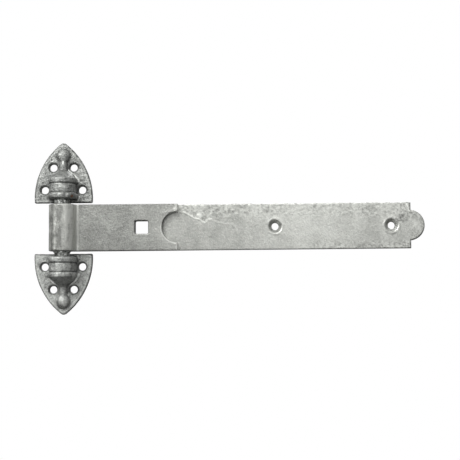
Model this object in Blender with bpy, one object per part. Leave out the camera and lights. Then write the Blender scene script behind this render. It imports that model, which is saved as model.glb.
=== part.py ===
"""A heavy band hinge for a field gate: a bar folded round a pin, and a cast cup on each pin end.

Frame: +Z runs up the pin, +X runs out along the strap, and -Y faces the person at the gate.
The plane y = 0 is the face of the post and of the closed gate, which the castings and the
strap lie against. The origin is on that plane, behind the pin, at the middle of the knuckle.
"""

import math

import bmesh
import bpy
from mathutils import Vector

MM = 0.001

# Bar and knuckle
BAR_WIDTH = 40.0 * MM
BAR_THICKNESS = 5.0 * MM
PIN_RADIUS = 6.0 * MM
RUNNING_GAP = 0.3 * MM
CORNER_RADIUS = 2.5 * MM
LEAF_SEAM = 0.3 * MM
KNUCKLE_INNER = PIN_RADIUS + RUNNING_GAP
KNUCKLE_OUTER = KNUCKLE_INNER + BAR_THICKNESS
AXIS_Y = -KNUCKLE_OUTER

# Strap outline, measured from the pin's line
SHOULDER_X = 299.5 * MM
NOSE_RADIUS = 13.25 * MM
NOSE_CENTRE_X = 298.2 * MM
NOTCH_RADIUS = 13.25 * MM
NOTCH_CENTRE_X = 98.6 * MM
BOLT_HOLE_X = 67.8 * MM
BOLT_HOLE_SIDE = 11.0 * MM
STRAP_SCREWS_X = (182.5 * MM, 282.9 * MM)
STRAP_SCREW_RADIUS = 3.0 * MM
STRAP_SINK_RADIUS = 6.0 * MM

# Pin
PIN_HALF_LENGTH = 39.7 * MM
PIN_CHAMFER = 1.0 * MM

# Cups: heights are measured from the straight base edge towards the tip
CUP_BASE_Z = 21.9 * MM
PLATE_THICKNESS = 4.0 * MM
ARCH_RADIUS = 60.7 * MM
ARCH_CENTRE_X = 35.6 * MM
ARCH_CENTRE_HEIGHT = 4.1 * MM
TIP_RADIUS = 3.0 * MM
SOCKET_RADIUS = 6.55 * MM
SOCKET_FLOOR = 18.1 * MM
SCREW_ROWS = ((16.15 * MM, 11.3 * MM), (8.8 * MM, 30.8 * MM))
CUP_SCREW_RADIUS = 3.35 * MM
CUP_SINK_RADIUS = 4.5 * MM
BALL_HEIGHT = 41.1 * MM
BALL_RADIUS = 6.1 * MM
BALL_CENTRE_Y = -4.8 * MM

# Barrel
MOUTH = 2.9 * MM
BARREL_RADIUS = 11.4 * MM
BEAD_RISE = 1.1 * MM
BEAD_END = 8.1 * MM
GROOVE_HEIGHT = 15.9 * MM
GROOVE_DEPTH = 0.6 * MM
COLLAR_END = 19.6 * MM
COLLAR_RISE = 0.6 * MM
NECK_HEIGHT = 29.8 * MM
NECK_HALF_WIDTH = 3.6 * MM
NECK_CREST = 7.8 * MM
BARREL_END = 37.6 * MM
GROOVE_STEPS = tuple(step * MM for step in (-1.5, -0.6, 0.0, 0.6, 1.3, 2.2, 3.0))
GROOVE_HALF_WIDTH = 0.6 * MM
COLLAR_FADE = 1.5 * MM
SIDE_LEAD = 1.25

# Weld beads on the pin, against the ends of the knuckle
BEAD_FOOT_RADIUS = 8.2 * MM
BEAD_NECK_RADIUS = 6.9 * MM
BEAD_HEIGHT = 4.1 * MM
BEAD_SHOULDER = 1.5 * MM
BEAD_CREST_SHARES = (0.4, 0.8)

ARC_STEP = math.radians(7.5)
ROUND_SEGMENTS = 32
OVERSHOOT = 2.0 * MM
MERGE_DISTANCE = 0.001 * MM


def clear_scene():
    for obj in list(bpy.data.objects):
        bpy.data.objects.remove(obj, do_unlink=True)


def make_material(name, colour, roughness):
    """Zinc-coated metal of one colour and roughness."""
    material = bpy.data.materials.new(name)
    material.use_nodes = True
    shader = material.node_tree.nodes["Principled BSDF"]
    shader.inputs["Base Color"].default_value = (*colour, 1.0)
    shader.inputs["Roughness"].default_value = roughness
    shader.inputs["Metallic"].default_value = 0.85
    return material


def arc_points(centre, radius, start, end, step=ARC_STEP):
    """Points of an arc about centre, from one angle to the other, both ends included."""
    count = max(2, math.ceil(abs(end - start) / step))
    angles = [start + (end - start) * i / count for i in range(count + 1)]
    return [
        (centre[0] + radius * math.cos(a), centre[1] + radius * math.sin(a)) for a in angles
    ]


def new_object(name, mesh_builder, material=None):
    """A named object from a filled bmesh whose faces are turned to point out."""
    bmesh.ops.recalc_face_normals(mesh_builder, faces=mesh_builder.faces)
    mesh = bpy.data.meshes.new(name)
    mesh_builder.to_mesh(mesh)
    mesh_builder.free()
    obj = bpy.data.objects.new(name, mesh)
    bpy.context.scene.collection.objects.link(obj)
    if material:
        mesh.materials.append(material)
        mesh.shade_smooth()
        mesh.set_sharp_from_angle(angle=math.radians(35))
    else:
        obj.hide_render = True
        obj.display_type = "WIRE"
    return obj


def extrude_outline(name, outline, place, travel, material=None):
    """A solid from a closed outline; place turns an outline point into the first end's corner."""
    builder = bmesh.new()
    corners = [builder.verts.new(place(u, v)) for u, v in outline]
    end = bmesh.ops.extrude_face_region(builder, geom=[builder.faces.new(corners)])
    moved = [item for item in end["geom"] if isinstance(item, bmesh.types.BMVert)]
    bmesh.ops.translate(builder, verts=moved, vec=Vector(travel))
    return new_object(name, builder, material)


def extrude_through(name, outline, y_front, y_back, material=None):
    """A solid whose outline is drawn in the x-z plane, from one depth to another."""
    return extrude_outline(
        name, outline, lambda x, z: (x, y_front, z), (0, y_back - y_front, 0), material
    )


def turn_profile(name, profile, axis_point, axis, start, material=None):
    """A closed solid of revolution; profile is a closed loop of (radius, place along the axis)."""
    builder = bmesh.new()
    centre = Vector(axis_point)
    along = Vector(axis)
    loop = [builder.verts.new(centre + Vector(start) * r + along * h) for r, h in profile]
    edges = [builder.edges.new((loop[i - 1], loop[i])) for i in range(len(loop))]
    bmesh.ops.spin(
        builder,
        geom=loop + edges,
        cent=centre,
        axis=along,
        angle=math.tau,
        steps=ROUND_SEGMENTS,
        use_merge=True,
    )
    bmesh.ops.remove_doubles(builder, verts=builder.verts, dist=MERGE_DISTANCE)
    return new_object(name, builder, material)


def combine(obj, other, operation):
    """Adds an exact Boolean; the other object stays as a hidden helper."""
    modifier = obj.modifiers.new(other.name, "BOOLEAN")
    modifier.object = other
    modifier.operation = operation
    modifier.solver = "EXACT"


def countersink_cutter(name, x, z, hole_radius, sink_radius, face_y, clear_y):
    """A drill along Y: a straight hole, a 90 degree sink at face_y, and clear space before it."""
    sink_foot = face_y + (sink_radius - hole_radius)
    profile = [
        (0, OVERSHOOT),
        (hole_radius, OVERSHOOT),
        (hole_radius, sink_foot),
        (sink_radius, face_y),
        (sink_radius, clear_y),
        (0, clear_y),
    ]
    return turn_profile(name, profile, (x, 0, z), (0, 1, 0), (1, 0, 0))


def folded_bar_outline():
    """The bar's edge seen down the pin: back leaf, loop round the pin, corner and front leaf."""
    axis = (0.0, AXIS_Y)
    front_leaf_back = -BAR_THICKNESS - LEAF_SEAM
    front_leaf_front = front_leaf_back - BAR_THICKNESS
    corner_y = front_leaf_front - CORNER_RADIUS
    corner_x = math.sqrt((KNUCKLE_OUTER + CORNER_RADIUS) ** 2 - (corner_y - AXIS_Y) ** 2)
    meet = math.atan2(corner_y - AXIS_Y, corner_x)
    top = math.radians(90)
    corner = (corner_x, corner_y)
    far_x = NOSE_CENTRE_X + NOSE_RADIUS + OVERSHOOT
    outer_loop = arc_points(axis, KNUCKLE_OUTER, top, math.tau + meet)
    concave = arc_points(corner, CORNER_RADIUS, math.pi + meet, top, 2 * ARC_STEP)
    convex = arc_points(corner, CORNER_RADIUS + BAR_THICKNESS, top, math.pi + meet)
    inner_loop = arc_points(axis, KNUCKLE_INNER, math.tau + meet, top)
    return [
        (far_x, 0.0),
        *outer_loop,
        *concave[1:],
        (NOTCH_CENTRE_X, front_leaf_front),
        (NOTCH_CENTRE_X, front_leaf_back),
        *convex,
        *inner_loop[1:],
        (far_x, -BAR_THICKNESS),
    ]


def nose_cutter():
    """Everything past the shoulders except the round nose."""
    reach = NOSE_CENTRE_X + NOSE_RADIUS + 2 * OVERSHOOT
    side = BAR_WIDTH / 2 + OVERSHOOT
    turn = math.acos((SHOULDER_X - NOSE_CENTRE_X) / NOSE_RADIUS)
    nose = arc_points((NOSE_CENTRE_X, 0.0), NOSE_RADIUS, turn, -turn)
    outline = [(SHOULDER_X, -side), (reach, -side), (reach, side), (SHOULDER_X, side), *nose]
    return extrude_through("nose_cutter", outline, -BAR_THICKNESS - OVERSHOOT, OVERSHOOT)


def notch_cutter():
    """The round bite out of the front leaf's end, which stops inside the seam."""
    outline = arc_points((NOTCH_CENTRE_X, 0.0), NOTCH_RADIUS, 0.0, math.tau)[:-1]
    front = -2 * BAR_THICKNESS - LEAF_SEAM - OVERSHOOT
    return extrude_through("notch_cutter", outline, front, -BAR_THICKNESS - LEAF_SEAM / 2)


def bolt_hole_cutter():
    half = BOLT_HOLE_SIDE / 2
    outline = [(BOLT_HOLE_X + i * half, j * half) for i, j in ((-1, -1), (1, -1), (1, 1), (-1, 1))]
    front = -2 * BAR_THICKNESS - LEAF_SEAM - OVERSHOOT
    return extrude_through("bolt_hole_cutter", outline, front, OVERSHOOT)


def build_strap(material):
    """One flat bar: its long leaf lies on the gate and its short leaf is folded over it."""
    half = BAR_WIDTH / 2
    strap = extrude_outline(
        "strap", folded_bar_outline(), lambda x, y: (x, y, -half), (0, 0, BAR_WIDTH), material
    )
    combine(strap, nose_cutter(), "DIFFERENCE")
    combine(strap, notch_cutter(), "DIFFERENCE")
    combine(strap, bolt_hole_cutter(), "DIFFERENCE")
    for number, x in enumerate(STRAP_SCREWS_X, 1):
        drill = countersink_cutter(
            f"strap_drill_{number}",
            x,
            0.0,
            STRAP_SCREW_RADIUS,
            STRAP_SINK_RADIUS,
            -BAR_THICKNESS,
            -2 * BAR_THICKNESS,
        )
        combine(strap, drill, "DIFFERENCE")
    return strap


def build_pin(material):
    """A plain round bar with chamfered ends."""
    inset = PIN_RADIUS - PIN_CHAMFER
    side = PIN_HALF_LENGTH - PIN_CHAMFER
    profile = [
        (0, -PIN_HALF_LENGTH),
        (inset, -PIN_HALF_LENGTH),
        (PIN_RADIUS, -side),
        (PIN_RADIUS, side),
        (inset, PIN_HALF_LENGTH),
        (0, PIN_HALF_LENGTH),
    ]
    return turn_profile("pin", profile, (0, AXIS_Y, 0), (0, 0, 1), (1, 0, 0), material)


def build_weld(name, way, material):
    """A fillet of weld metal round the pin: full at the knuckle's end and drawn in above it."""
    foot = BAR_WIDTH / 2 + RUNNING_GAP
    inner = PIN_RADIUS + RUNNING_GAP
    crest_low, crest_high = BEAD_CREST_SHARES
    profile = [
        (inner, way * foot),
        (BEAD_FOOT_RADIUS - RUNNING_GAP, way * foot),
        (BEAD_FOOT_RADIUS, way * (foot + crest_low * BEAD_SHOULDER)),
        (BEAD_FOOT_RADIUS - RUNNING_GAP, way * (foot + crest_high * BEAD_SHOULDER)),
        (BEAD_NECK_RADIUS, way * (foot + BEAD_SHOULDER)),
        (BEAD_NECK_RADIUS, way * (foot + BEAD_HEIGHT - RUNNING_GAP)),
        (inner, way * (foot + BEAD_HEIGHT)),
    ]
    return turn_profile(name, profile, (0, AXIS_Y, 0), (0, 0, 1), (1, 0, 0), material)


def arch_outline():
    """A pointed arch on a straight base: two arcs that meet in a small round tip."""
    centre_gap = ARCH_RADIUS - TIP_RADIUS
    rise = math.sqrt(centre_gap**2 - ARCH_CENTRE_X**2)
    foot = math.asin(-ARCH_CENTRE_HEIGHT / ARCH_RADIUS)
    lean = math.atan2(rise, ARCH_CENTRE_X)
    right = arc_points((-ARCH_CENTRE_X, ARCH_CENTRE_HEIGHT), ARCH_RADIUS, foot, lean, ARC_STEP / 2)
    tip = arc_points((0.0, ARCH_CENTRE_HEIGHT + rise), TIP_RADIUS, lean, math.pi - lean, ARC_STEP * 2)
    left = [(-x, height) for x, height in reversed(right)]
    return right + tip[1:-1] + left


def barrel_section(height):
    """(half width, side height, crest height) of the barrel at one height above the base edge."""
    axis = -AXIS_Y
    bead = bulge(height, MOUTH, BEAD_END) * BEAD_RISE
    collar = bulge(height, GROOVE_HEIGHT, COLLAR_END + COLLAR_FADE) * COLLAR_RISE
    groove = GROOVE_DEPTH * math.exp(-(((height - GROOVE_HEIGHT) / GROOVE_HALF_WIDTH) ** 2))
    radius = BARREL_RADIUS + bead + collar - groove
    if height <= COLLAR_END:
        return radius, axis, axis + radius
    share = min((height - COLLAR_END) / (NECK_HEIGHT - COLLAR_END), 1.0)
    fall = 0.5 - 0.5 * math.cos(math.pi * share)
    half_width = radius + (NECK_HALF_WIDTH - radius) * fall
    crest = axis + radius + (NECK_CREST - axis - radius) * fall
    side = axis + (PLATE_THICKNESS - axis) * min(1.0, SIDE_LEAD * fall)
    return half_width, side, crest


def bulge(height, low, high):
    """A half round from 0 to 1 to 0 between two heights, and 0 outside them."""
    place = (2 * height - low - high) / (high - low)
    return math.sqrt(max(0.0, 1.0 - place * place))


def barrel_heights():
    """Close together where the beads and the groove turn, and wider apart elsewhere."""
    bead = [MOUTH + (BEAD_END - MOUTH) * i / 6 for i in range(7)]
    groove = [GROOVE_HEIGHT + step for step in GROOVE_STEPS]
    dome = [COLLAR_END + (NECK_HEIGHT - COLLAR_END) * i / 10 for i in range(11)]
    return [*bead, *groove, *dome, BARREL_END]


def barrel_solid(name, way):
    """Cross-sections with upright sides and a half-round top, joined from the mouth to the neck."""
    builder = bmesh.new()
    rings = []
    for height in barrel_heights():
        half_width, side, crest = barrel_section(height)
        z = way * (CUP_BASE_Z + height)
        top = arc_points((0.0, 0.0), 1.0, 0.0, math.pi, math.radians(15))
        edge = [(half_width * c, -(side + (crest - side) * s)) for c, s in top]
        foot = -PLATE_THICKNESS / 4
        outline = [(half_width, foot), *edge, (-half_width, foot)]
        rings.append([builder.verts.new((x, y, z)) for x, y in outline])
    for ring, following in zip(rings, rings[1:]):
        for i in range(len(ring)):
            builder.faces.new((ring[i - 1], ring[i], following[i], following[i - 1]))
    builder.faces.new(rings[0])
    builder.faces.new(rings[-1])
    return new_object(name, builder)


def finial_solid(name, way):
    """The round ball at the end of the neck, half sunk in the plate."""
    turns = [i * math.pi / 12 for i in range(13)]
    profile = [(BALL_RADIUS * math.sin(a), -BALL_RADIUS * math.cos(a)) for a in turns]
    centre = (0, BALL_CENTRE_Y, way * (CUP_BASE_Z + BALL_HEIGHT))
    ball = turn_profile(name, profile, centre, (0, 1, 0), (1, 0, 0))
    reach = 2 * BALL_RADIUS
    middle_z = way * (CUP_BASE_Z + BALL_HEIGHT)
    corners = ((-1, -1), (1, -1), (1, 1), (-1, 1))
    outline = [(i * reach, middle_z + j * reach) for i, j in corners]
    floor = extrude_through(f"{name}_back_cutter", outline, -PLATE_THICKNESS / 4, OVERSHOOT)
    combine(ball, floor, "DIFFERENCE")
    return ball


def build_cup(name, way, material):
    """One casting: screw plate, barrel over the pin's end, dome, neck and ball."""
    outline = [(x, way * (CUP_BASE_Z + height)) for x, height in arch_outline()]
    cup = extrude_through(name, outline, -PLATE_THICKNESS, 0.0, material)
    combine(cup, barrel_solid(f"{name}_barrel", way), "UNION")
    combine(cup, finial_solid(f"{name}_ball", way), "UNION")
    socket = [
        (0, way * CUP_BASE_Z),
        (SOCKET_RADIUS, way * CUP_BASE_Z),
        (SOCKET_RADIUS, way * (CUP_BASE_Z + SOCKET_FLOOR)),
        (0, way * (CUP_BASE_Z + SOCKET_FLOOR)),
    ]
    axis_point = (0, AXIS_Y, 0)
    bore = turn_profile(f"{name}_socket_cutter", socket, axis_point, (0, 0, 1), (1, 0, 0))
    combine(cup, bore, "DIFFERENCE")
    for row, (x, height) in enumerate(SCREW_ROWS, 1):
        for side in (-1, 1):
            drill = countersink_cutter(
                f"{name}_drill_{row}_{'left' if side < 0 else 'right'}",
                side * x,
                way * (CUP_BASE_Z + height),
                CUP_SCREW_RADIUS,
                CUP_SINK_RADIUS,
                -PLATE_THICKNESS,
                -3 * KNUCKLE_OUTER,
            )
            combine(cup, drill, "DIFFERENCE")
    return cup


def put_on_pin_axis(obj):
    """Moves an object's origin to the pin's axis and leaves its shape where it is."""
    offset = Vector((0, AXIS_Y, 0))
    for vertex in obj.data.vertices:
        vertex.co -= offset
    obj.location = offset


def hang_on_axis(name, children):
    """An empty on the pin's axis that carries the pieces turning or sliding along it."""
    empty = bpy.data.objects.new(name, None)
    empty.location = (0, AXIS_Y, 0)
    bpy.context.scene.collection.objects.link(empty)
    for child in children:
        put_on_pin_axis(child)
        child.parent = empty
        child.location = (0, 0, 0)


def build_hinge():
    clear_scene()
    rolled = make_material("galvanised_strap", (0.50, 0.51, 0.50), 0.45)
    cast = make_material("galvanised_casting", (0.36, 0.37, 0.37), 0.55)
    round_bar = make_material("galvanised_pin", (0.42, 0.43, 0.43), 0.45)
    weld = make_material("galvanised_weld", (0.46, 0.46, 0.45), 0.5)
    strap = build_strap(rolled)
    pin = build_pin(round_bar)
    upper_weld = build_weld("upper_pin_weld", 1, weld)
    lower_weld = build_weld("lower_pin_weld", -1, weld)
    upper_cup = build_cup("upper_cup", 1, cast)
    build_cup("lower_cup", -1, cast)
    hang_on_axis("strap_axis", (strap, pin, upper_weld, lower_weld))
    hang_on_axis("upper_cup_axis", (upper_cup,))


build_hinge()
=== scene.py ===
# %% [markdown]
# # A galvanised band hinge
# A flat bar is folded round a pin, and each end of the pin turns in a cast cup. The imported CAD
# model gives every size and every moving body. This lesson makes the surface of the real thing
# over it: bar with zinc runs, sand-cast cups, lumpy weld metal, and a zinc skin on all of it.

# %% The frame
import functools
import math

import bpy
import numpy as np
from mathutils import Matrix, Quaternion, Vector


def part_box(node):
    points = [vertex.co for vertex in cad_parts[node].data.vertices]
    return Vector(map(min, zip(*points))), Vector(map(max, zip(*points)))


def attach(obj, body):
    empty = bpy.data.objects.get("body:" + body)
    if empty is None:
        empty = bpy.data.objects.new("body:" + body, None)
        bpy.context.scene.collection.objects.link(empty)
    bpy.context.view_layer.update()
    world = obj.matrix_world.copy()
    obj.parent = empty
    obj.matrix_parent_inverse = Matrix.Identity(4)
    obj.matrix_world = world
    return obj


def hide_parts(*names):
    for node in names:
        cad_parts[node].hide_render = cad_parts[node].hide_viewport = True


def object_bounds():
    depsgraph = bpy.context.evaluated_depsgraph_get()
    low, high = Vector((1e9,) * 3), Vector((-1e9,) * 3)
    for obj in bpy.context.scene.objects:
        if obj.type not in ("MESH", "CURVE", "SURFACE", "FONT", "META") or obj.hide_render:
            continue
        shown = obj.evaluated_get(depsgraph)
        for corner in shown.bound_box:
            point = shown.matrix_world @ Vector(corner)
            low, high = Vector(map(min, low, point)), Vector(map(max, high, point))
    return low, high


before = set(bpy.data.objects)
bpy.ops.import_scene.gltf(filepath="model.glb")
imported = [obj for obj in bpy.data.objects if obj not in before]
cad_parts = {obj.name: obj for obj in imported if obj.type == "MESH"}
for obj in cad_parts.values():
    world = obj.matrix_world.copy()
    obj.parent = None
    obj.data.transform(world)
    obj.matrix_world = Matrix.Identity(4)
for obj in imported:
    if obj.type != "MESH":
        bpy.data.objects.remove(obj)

cad_box = [list(corner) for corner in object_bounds()]

# %% [markdown]
# ## Sizes
# The main sizes are measured from the frame: the strap's box gives the far tip and half the
# width, and the pin's box gives the turning line and the pin's radius. The back of the loop
# touches the plane of the post, so its outer radius is the turning line's distance from that
# plane. What a box can't say, such as the bar's thickness, is repeated here.

# %% Sizes from the frame
MM = 0.001
strap_high = np.array(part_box("strap")[1])
pin_low, pin_high = (np.array(corner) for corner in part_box("pin"))
cup_low = np.array(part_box("upper_cup")[0])

BAR = 5.0 * MM
SEAM = 0.3 * MM
AXIS_Y = (pin_low[1] + pin_high[1]) / 2
PIN_RADIUS = (pin_high[0] - pin_low[0]) / 2
LOOP_OUTER = -AXIS_Y
LOOP_MIDDLE = LOOP_OUTER - BAR / 2
CORNER = 2.5 * MM
HALF_WIDTH = strap_high[2]
TIP_X = strap_high[0]
print("axis", AXIS_Y, "pin radius", PIN_RADIUS, "tip", TIP_X, "half width", HALF_WIDTH)

# %% [markdown]
# ## Noise
# Poured zinc and sand-cast iron are never flat. Value noise gives such a surface the same way on
# each run: every corner of a lattice gets a fixed number from a hash of its whole coordinates,
# and a point takes a smooth mix of the corners round it. Octaves of it, each half as wide and
# about half as strong, add up to a natural roughness.

# %% Value noise
# Large odd numbers, which spread neighbouring corners over the whole range of the hash.
HASH_X, HASH_Y, HASH_Z, HASH_SEED = 374761393, 668265263, 2147483647, 974634777
HASH_MIX = 1274126177


def lattice_value(ix, iy, iz, seed):
    """A number from -1 to 1 for each whole lattice corner: a hash of its three indices."""
    mixed = ix * HASH_X + iy * HASH_Y + iz * HASH_Z + seed * HASH_SEED
    mixed = (mixed ^ (mixed >> 13)) * HASH_MIX
    mixed = mixed ^ (mixed >> 16)
    return (mixed & 0xFFFFF) / float(0x7FFFF) - 1.0


def noise(points, size, seed=0):
    """Value noise at points (n, 3): lattice corners of the given size, mixed by 3t^2 - 2t^3."""
    place = np.asarray(points) / size
    whole = np.floor(place).astype(np.int64)
    t = place - whole
    t = t * t * (3 - 2 * t)
    total = np.zeros(len(place))
    for dx in (0, 1):
        for dy in (0, 1):
            for dz in (0, 1):
                weight = (
                    (t[:, 0] if dx else 1 - t[:, 0])
                    * (t[:, 1] if dy else 1 - t[:, 1])
                    * (t[:, 2] if dz else 1 - t[:, 2])
                )
                corner = lattice_value(whole[:, 0] + dx, whole[:, 1] + dy, whole[:, 2] + dz, seed)
                total += weight * corner
    return total


def rough(points, size, octaves, seed=0, fade=0.55):
    """Octaves of noise: each has half the size of the one before and fade times its strength."""
    total = np.zeros(len(points))
    reach = 0.0
    for octave in range(octaves):
        total += fade**octave * noise(points, size / 2**octave, seed + 17 * octave)
        reach += fade**octave
    return total / reach


def sheet(across, up):
    """Points (across, up, 0), for noise that changes in two directions only."""
    return np.stack([across, up, np.zeros_like(across)], axis=1)


def smooth_step(low, high, value):
    """0 up to low, 1 from high, and 3t^2 - 2t^3 between them."""
    t = np.clip((value - low) / (high - low), 0.0, 1.0)
    return t * t * (3 - 2 * t)


def bump(distance, reach):
    """A round hill: 1 at distance 0, falling smoothly to 0 at reach."""
    return 1.0 - smooth_step(0.0, 1.0, np.abs(distance) / reach)


# %% [markdown]
# ## Arrays into a mesh
# Every piece here is a pair of arrays, points and faces, and Blender takes each in one call. That
# is quick for a hundred thousand faces, where a loop over them would be slow.

# %% A mesh from arrays
def make_object(name, points, quads, material=None, triangles=None):
    """One object at the origin from points (n, 3), quads (m, 4) and any triangles (k, 3)."""
    faces = [np.asarray(quads, np.int32).ravel()]
    totals = [np.full(len(quads), 4, np.int32)]
    if triangles is not None and len(triangles):
        faces.append(np.asarray(triangles, np.int32).ravel())
        totals.append(np.full(len(triangles), 3, np.int32))
    corners, counts = np.concatenate(faces), np.concatenate(totals)
    starts = np.concatenate([[0], np.cumsum(counts)[:-1]]).astype(np.int32)
    mesh = bpy.data.meshes.new(name)
    mesh.vertices.add(len(points))
    mesh.vertices.foreach_set("co", np.asarray(points, np.float32).ravel())
    mesh.loops.add(len(corners))
    mesh.loops.foreach_set("vertex_index", corners)
    mesh.polygons.add(len(counts))
    mesh.polygons.foreach_set("loop_start", starts)
    mesh.update(calc_edges=True)
    mesh.validate()
    mesh.shade_smooth()
    if material:
        mesh.materials.append(material)
    obj = bpy.data.objects.new(name, mesh)
    bpy.context.scene.collection.objects.link(obj)
    print(f"{name}: {len(points)} points, {len(counts)} faces")
    return obj

# %% [markdown]
# ## The strap: a flat blank, cut and then folded
# A smith cuts the outline from flat bar, punches its holes, and only then folds it round the
# pin. The same order works for the mesh: a grid of (distance along the bar, height) is trimmed
# in the flat, given its two faces, and carried along the folded path. The trim is done by a
# signed distance, which is negative inside the metal: cells with their middle outside go, and
# the points left on the rim are moved straight onto the outline.

# %% The folded path
FRONT_LEAF_Y = -(BAR + SEAM + BAR / 2)
BACK_LEAF_Y = -BAR / 2
NOTCH_X = 98.6 * MM
corner_y = -(2 * BAR + SEAM + CORNER)
corner_x = math.sqrt((LOOP_OUTER + CORNER) ** 2 - (corner_y - AXIS_Y) ** 2)
meet_angle = math.atan2(corner_y - AXIS_Y, corner_x)
CORNER_MIDDLE = CORNER + BAR / 2
LEAF_END = NOTCH_X - corner_x
CORNER_END = LEAF_END + CORNER_MIDDLE * (math.pi / 2 + meet_angle)
LOOP_END = CORNER_END + LOOP_MIDDLE * (1.5 * math.pi + meet_angle)
BAR_END = LOOP_END + TIP_X
print("developed length of the bar in mm", round(BAR_END / MM, 1))


def fold(s):
    """Place and outer normal on the bar's middle line at distance s from the short leaf's end.

    The line runs along the short leaf, turns away from it round the inside corner, goes round
    the pin on a circle, and leaves that circle straight along the long leaf.
    """
    on_corner = (s - LEAF_END) / CORNER_MIDDLE + math.pi / 2
    on_loop = meet_angle - (s - CORNER_END) / LOOP_MIDDLE
    stages = [s < LEAF_END, s < CORNER_END, s < LOOP_END]
    zero, one = np.zeros_like(s), np.ones_like(s)
    x = np.select(
        stages,
        [NOTCH_X - s, corner_x + CORNER_MIDDLE * np.cos(on_corner), LOOP_MIDDLE * np.cos(on_loop)],
        s - LOOP_END,
    )
    y = np.select(
        stages,
        [
            FRONT_LEAF_Y * one,
            corner_y + CORNER_MIDDLE * np.sin(on_corner),
            AXIS_Y + LOOP_MIDDLE * np.sin(on_loop),
        ],
        BACK_LEAF_Y,
    )
    normal_x = np.select(stages, [zero, -np.cos(on_corner), np.cos(on_loop)], 0.0)
    normal_y = np.select(stages, [-one, -np.sin(on_corner), np.sin(on_loop)], 1.0)
    return x, y, normal_x, normal_y


# %% The blank's outline
BOLT_X = 67.8 * MM
BOLT_HALF = 5.6 * MM
BOLT_CORNER = 1.3 * MM
SCREW_X = (182.5 * MM, 282.9 * MM)
SCREW_RADIUS = 3.05 * MM
SINK_RADIUS = 5.9 * MM
NOTCH_RADIUS = 13.25 * MM
NOSE_RADIUS = 13.25 * MM
NOSE_X = TIP_X - NOSE_RADIUS
SHOULDER_X = 299.5 * MM


def leaf_place(s):
    """Distance from the pin's line along whichever leaf s is on."""
    return np.where(s < LEAF_END, NOTCH_X - s, s - LOOP_END)


def square_distance(x, z):
    """Signed distance to the bolt hole: a square with small round corners."""
    qx = np.abs(x - BOLT_X) - BOLT_HALF + BOLT_CORNER
    qz = np.abs(z) - BOLT_HALF + BOLT_CORNER
    outside = np.hypot(np.maximum(qx, 0), np.maximum(qz, 0))
    return outside + np.minimum(np.maximum(qx, qz), 0) - BOLT_CORNER


def blank_distance(s, z):
    """Signed distance from the blank's outline, negative in the metal.

    The strip between the long edges and the two ends; less the round bite at the short end, the
    bolt's square hole in each leaf and the screw holes; with the round nose past the shoulders.
    """
    x = leaf_place(s)
    short, long = s < LEAF_END, s > LOOP_END
    strip = np.maximum(np.abs(z) - HALF_WIDTH, -s)
    shoulders = np.maximum(strip, np.where(long, x - SHOULDER_X, -1.0))
    nose = np.where(long, np.hypot(x - NOSE_X, z) - NOSE_RADIUS, 1.0)
    metal = np.where(long & (x > NOSE_X), np.minimum(shoulders, nose), shoulders)
    bite = NOTCH_RADIUS - np.hypot(s, z)
    metal = np.maximum(metal, np.where(short, bite, -1.0))
    metal = np.maximum(metal, np.where(short | long, -square_distance(x, z), -1.0))
    for hole_x in SCREW_X:
        metal = np.maximum(metal, np.where(long, SCREW_RADIUS - np.hypot(x - hole_x, z), -1.0))
    return metal


def snap_to_outline(s, z, moved, steps=3):
    """Moves the chosen points along the distance's slope until they lie on the outline."""
    nudge = 0.02 * MM
    for _ in range(steps):
        here = blank_distance(s, z)
        slope_s = (blank_distance(s + nudge, z) - blank_distance(s - nudge, z)) / (2 * nudge)
        slope_z = (blank_distance(s, z + nudge) - blank_distance(s, z - nudge)) / (2 * nudge)
        size = np.maximum(slope_s**2 + slope_z**2, 0.25)
        s = np.where(moved, s - here * slope_s / size, s)
        z = np.where(moved, z - here * slope_z / size, z)
    return s, z


# %% Two faces and a rim from one trimmed grid
def rim_quads(kept, top, bottom):
    """Quads that close the rim between two copies of a grid whose kept cells are given.

    An edge between a kept cell and a missing one is on the rim. Each such edge joins its two
    top points to the matching bottom points, wound so that the quad faces away from the metal.
    """
    padded = np.pad(kept, 1)
    quads = []
    below, above = padded[1:-1, :-1], padded[1:-1, 1:]
    i, j = np.nonzero(above & ~below)
    quads.append((top[i, j], top[i + 1, j], bottom[i + 1, j], bottom[i, j]))
    i, j = np.nonzero(below & ~above)
    quads.append((top[i + 1, j], top[i, j], bottom[i, j], bottom[i + 1, j]))
    before, after = padded[:-1, 1:-1], padded[1:, 1:-1]
    i, j = np.nonzero(after & ~before)
    quads.append((top[i, j + 1], top[i, j], bottom[i, j], bottom[i, j + 1]))
    i, j = np.nonzero(before & ~after)
    quads.append((top[i, j], top[i, j + 1], bottom[i, j + 1], bottom[i, j]))
    return np.concatenate([np.stack(group, axis=1) for group in quads])


def used_only(points, quads, *attributes):
    """Drops the points that no face uses, and renumbers the faces."""
    used = np.zeros(len(points), bool)
    used[quads] = True
    number = np.cumsum(used) - 1
    return points[used], number[quads], *(values[used] for values in attributes)


# %% [markdown]
# ## Zinc on the strap
# The bar was hung from one edge and drawn out of molten zinc. It left a thick, lumpy band along
# the upper edge of the long leaf, a tongue that spilled past the horn of the short leaf, blobs
# at the rims of the holes, and a nearly smooth skin elsewhere. All of this is height: a function
# of place along the leaf and height on it, added to the face before it is folded.

# %% The lumpy band
SPILL_X = np.array([98, 104, 110.5, 117.7, 121.5, 127, 150, 190, 240, 300]) * MM
SPILL_EDGE = np.array([14.0, 11.6, 8.8, 5.9, 3.0, 6.5, 9.0, 7.0, 8.0, 6.0]) * MM


def spill_edge(x):
    """Lower edge of the lumpy zinc: it falls from the horn to mid height, then climbs away."""
    return np.interp(x, SPILL_X, SPILL_EDGE)


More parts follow.
